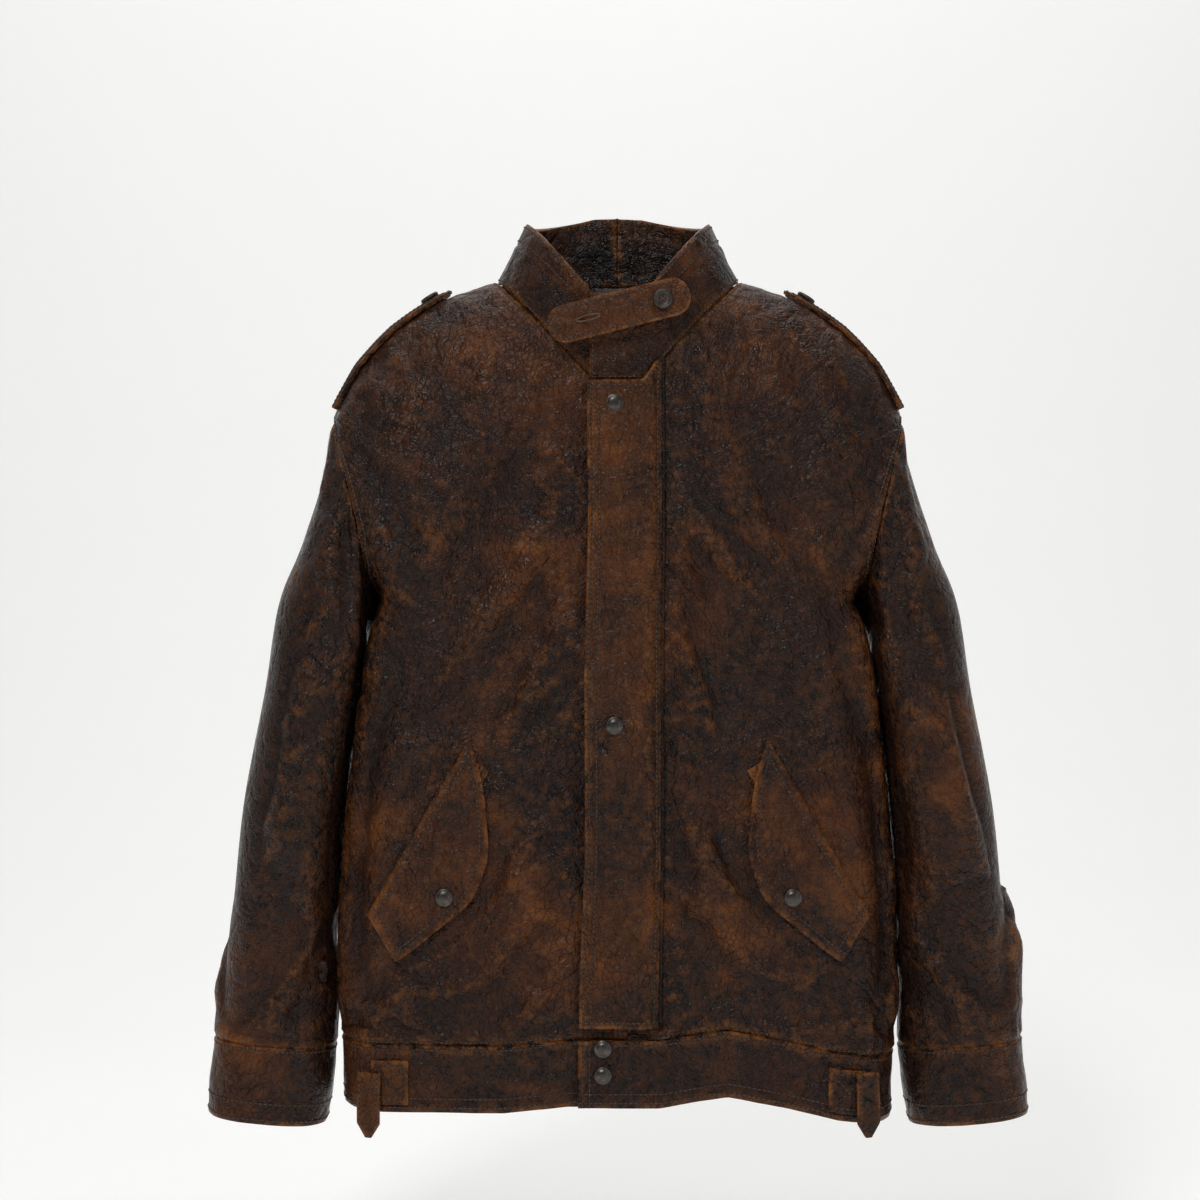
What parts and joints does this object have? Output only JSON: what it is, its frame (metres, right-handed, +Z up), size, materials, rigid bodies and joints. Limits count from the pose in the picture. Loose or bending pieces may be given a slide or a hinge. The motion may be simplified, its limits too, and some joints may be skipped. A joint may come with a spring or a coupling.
{
  "type": "leather riding jacket",
  "caption": "Hip-length leather riding jacket with stand collar and throat tab, snapped storm flap over a zip, slanted flap pockets, epaulettes, waistband and cuffs.",
  "frame": {"origin": "where a hanger carries the jacket, in the middle of the neck at the height of the neck seam's sides", "axes": "+X to the wearer's left, -Y the front, +Z up towards the collar"},
  "size_m": [0.7338, 0.1609, 0.8162],
  "materials": {
    "shell_leather": "distressed pull-up leather, red-brown with dark mottling and rubbed orange edges, soft gloss on the creases",
    "dark_leather": "blackened, cracked pull-up leather",
    "lining_cloth": "dark brown twill lining",
    "zip_tape": "woven zip tape",
    "zip_metal": "aged brass",
    "snap_metal": "gunmetal, worn bright on the crown",
    "button_horn": "dark horn with a matt grain"
  },
  "bodies": {
    "jacket": {"back_panel": "shell_leather", "front_panel_left": "shell_leather", "front_panel_right": "shell_leather", "waistband_back": "shell_leather", "waistband_left": "shell_leather", "waistband_right": "shell_leather", "collar_back": "dark_leather", "lining_back": "lining_cloth", "lining_left": "lining_cloth", "lining_right": "lining_cloth", "hang_loop": "shell_leather", "pocket_bag_left": "lining_cloth", "pocket_bag_right": "lining_cloth", "pocket_stud_left": "snap_metal", "pocket_stud_right": "snap_metal", "adjuster_patch_left": "shell_leather", "adjuster_patch_right": "shell_leather"},
    "front_left": {"front_edge_left": "shell_leather", "collar_left": "shell_leather", "waistband_end_left": "shell_leather", "zip_tape_left": "zip_tape", "zip_teeth_left": "zip_metal", "band_cap_1": "snap_metal", "band_cap_2": "snap_metal", "collar_tab_button": "button_horn"},
    "front_right": {"front_edge_right": "shell_leather", "collar_right": "shell_leather", "waistband_end_right": "shell_leather", "zip_tape_right": "zip_tape", "zip_teeth_right": "zip_metal", "front_stud": "snap_metal", "band_stud_1": "snap_metal", "band_stud_2": "snap_metal"},
    "storm_flap": {"storm_flap": "shell_leather", "storm_flap_root": "shell_leather", "flap_cap": "shell_leather"},
    "zip_slider": {"zip_slider": "zip_metal"},
    "zip_pull": {"zip_pull": "zip_metal"},
    "collar_tab": {"collar_tab": "shell_leather"},
    "pocket_flap_left": {"pocket_flap_left": "shell_leather", "pocket_cap_left": "snap_metal"},
    "epaulette_left": {"epaulette_left": "shell_leather", "epaulette_button_left": "button_horn"},
    "sleeve_left": {"sleeve_top_left": "shell_leather", "sleeve_under_left": "shell_leather", "sleeve_lining_left": "lining_cloth", "cuff_left": "shell_leather", "cuff_cap_left": "snap_metal"},
    "adjuster_left": {"adjuster_strap_left": "shell_leather"},
    "pocket_flap_right": {"pocket_flap_right": "shell_leather", "pocket_cap_right": "snap_metal"},
    "epaulette_right": {"epaulette_right": "shell_leather", "epaulette_button_right": "button_horn"},
    "sleeve_right": {"sleeve_top_right": "shell_leather", "sleeve_under_right": "shell_leather", "sleeve_lining_right": "lining_cloth", "cuff_right": "shell_leather", "cuff_cap_right": "snap_metal"},
    "adjuster_right": {"adjuster_strap_right": "shell_leather"}
  },
  "joints": [
    {"name": "front_left_open", "type": "hinge", "parent": "jacket", "child": "front_left", "pos_m": [0.09, -0.07, -0.4], "axis": [0, 0, 1], "range_deg": [0, 70]},
    {"name": "front_right_open", "type": "hinge", "parent": "jacket", "child": "front_right", "pos_m": [-0.09, -0.07, -0.4], "axis": [0, 0, 1], "range_deg": [-49, 0]},
    {"name": "storm_flap_open", "type": "hinge", "parent": "front_left", "child": "storm_flap", "pos_m": [0.04, -0.0726, -0.4], "axis": [0, 0, 1], "range_deg": [0, 110]},
    {"name": "zip_slide", "type": "slide", "parent": "front_left", "child": "zip_slider", "axis": [0, 0, -1], "range_m": [0, 0.53]},
    {"name": "zip_pull_swing", "type": "hinge", "parent": "zip_slider", "child": "zip_pull", "pos_m": [0.016, -0.0745, -0.116], "axis": [0, -1, 0], "range_deg": [-20, 20]},
    {"name": "collar_tab_swing", "type": "hinge", "parent": "front_left", "child": "collar_tab", "pos_m": [0.038, -0.0858, -0.038], "axis": [0, -1, 0], "range_deg": [-20, 70]},
    {"name": "pocket_flap_left_lift", "type": "hinge", "parent": "jacket", "child": "pocket_flap_left", "pos_m": [0.13, -0.073, -0.418], "axis": [-0.5145, 0, 0.8575], "range_deg": [0, 100]},
    {"name": "pocket_flap_right_lift", "type": "hinge", "parent": "jacket", "child": "pocket_flap_right", "pos_m": [-0.13, -0.073, -0.418], "axis": [-0.5145, 0, -0.8575], "range_deg": [0, 100]},
    {"name": "epaulette_left_lift", "type": "hinge", "parent": "jacket", "child": "epaulette_left", "pos_m": [0.257, 0, -0.146], "axis": [0, 1, 0], "range_deg": [0, 60]},
    {"name": "epaulette_right_lift", "type": "hinge", "parent": "jacket", "child": "epaulette_right", "pos_m": [-0.257, 0, -0.146], "axis": [0, -1, 0], "range_deg": [0, 60]},
    {"name": "sleeve_left_raise", "type": "hinge", "parent": "jacket", "child": "sleeve_left", "pos_m": [0.254, 0, -0.127], "axis": [0, -1, 0], "range_deg": [0, 60]},
    {"name": "sleeve_right_raise", "type": "hinge", "parent": "jacket", "child": "sleeve_right", "pos_m": [-0.254, 0, -0.127], "axis": [0, 1, 0], "range_deg": [0, 60]},
    {"name": "adjuster_left_swing", "type": "hinge", "parent": "jacket", "child": "adjuster_left", "pos_m": [0.2146, -0.0705, -0.7116], "axis": [0.4145, -0.91, 0], "range_deg": [-25, 25]},
    {"name": "adjuster_right_swing", "type": "hinge", "parent": "jacket", "child": "adjuster_right", "pos_m": [-0.2146, -0.0705, -0.7116], "axis": [-0.4145, -0.91, 0], "range_deg": [-25, 25]}
  ],
  "couplings": [
    {"joint": "front_right_open", "follows": "front_left_open", "ratio": -0.7}
  ]
}
